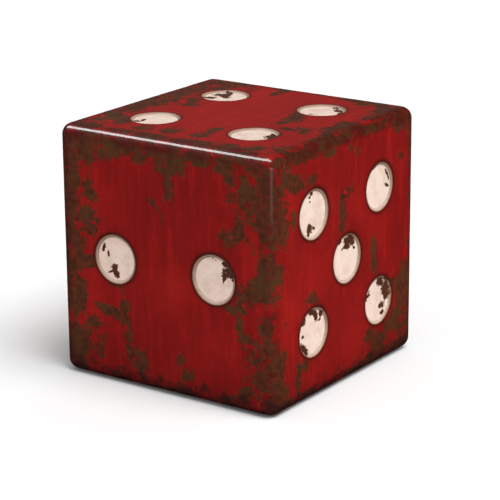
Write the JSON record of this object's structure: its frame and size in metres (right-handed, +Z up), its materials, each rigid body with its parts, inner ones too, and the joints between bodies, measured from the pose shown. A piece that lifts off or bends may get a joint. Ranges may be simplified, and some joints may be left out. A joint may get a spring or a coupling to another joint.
{
  "type": "die-shaped accent table",
  "caption": "Hollow rounded cube, a side table or stool, of mitred panels on a hidden wood frame, with dished ivory pips let into distressed red faces.",
  "frame": {"origin": "on the floor, under the middle of the table", "axes": "+Z up, front (the face with two pips) towards -Y, right (the face with five pips) towards +X"},
  "size_m": [0.4762, 0.4762, 0.4778],
  "materials": {
    "red_paint": "red paint rubbed through to dark brown, satin lacquer",
    "ivory_paint": "chipped ivory paint, satin lacquer",
    "fir": "planed and unfinished",
    "beech": "pressed and unfinished",
    "zinc_steel": "zinc plated",
    "nylon": "moulded, matt"
  },
  "bodies": {
    "root": {"top_panel": "red_paint", "front_panel": "red_paint", "right_panel": "red_paint", "back_panel": "red_paint", "left_panel": "red_paint", "bottom_panel": "red_paint", "top_pips": "ivory_paint", "front_pips": "ivory_paint", "right_pips": "ivory_paint", "back_pips": "ivory_paint", "left_pips": "ivory_paint", "bottom_pips": "ivory_paint", "post_front_right": "fir", "post_back_right": "fir", "post_back_left": "fir", "post_front_left": "fir", "top_rail_front": "fir", "top_rail_right": "fir", "top_rail_back": "fir", "top_rail_left": "fir", "bottom_rail_front": "fir", "bottom_rail_right": "fir", "bottom_rail_back": "fir", "bottom_rail_left": "fir", "brace_left_right": "fir", "brace_front_back": "fir", "rail_dowels": "beech", "brace_dowels": "beech", "side_biscuits": "beech", "top_biscuits": "beech", "post_screws": "zinc_steel", "top_screws": "zinc_steel", "bottom_screws": "zinc_steel", "glides": "nylon", "glide_screws": "zinc_steel"}
  },
  "joints": []
}
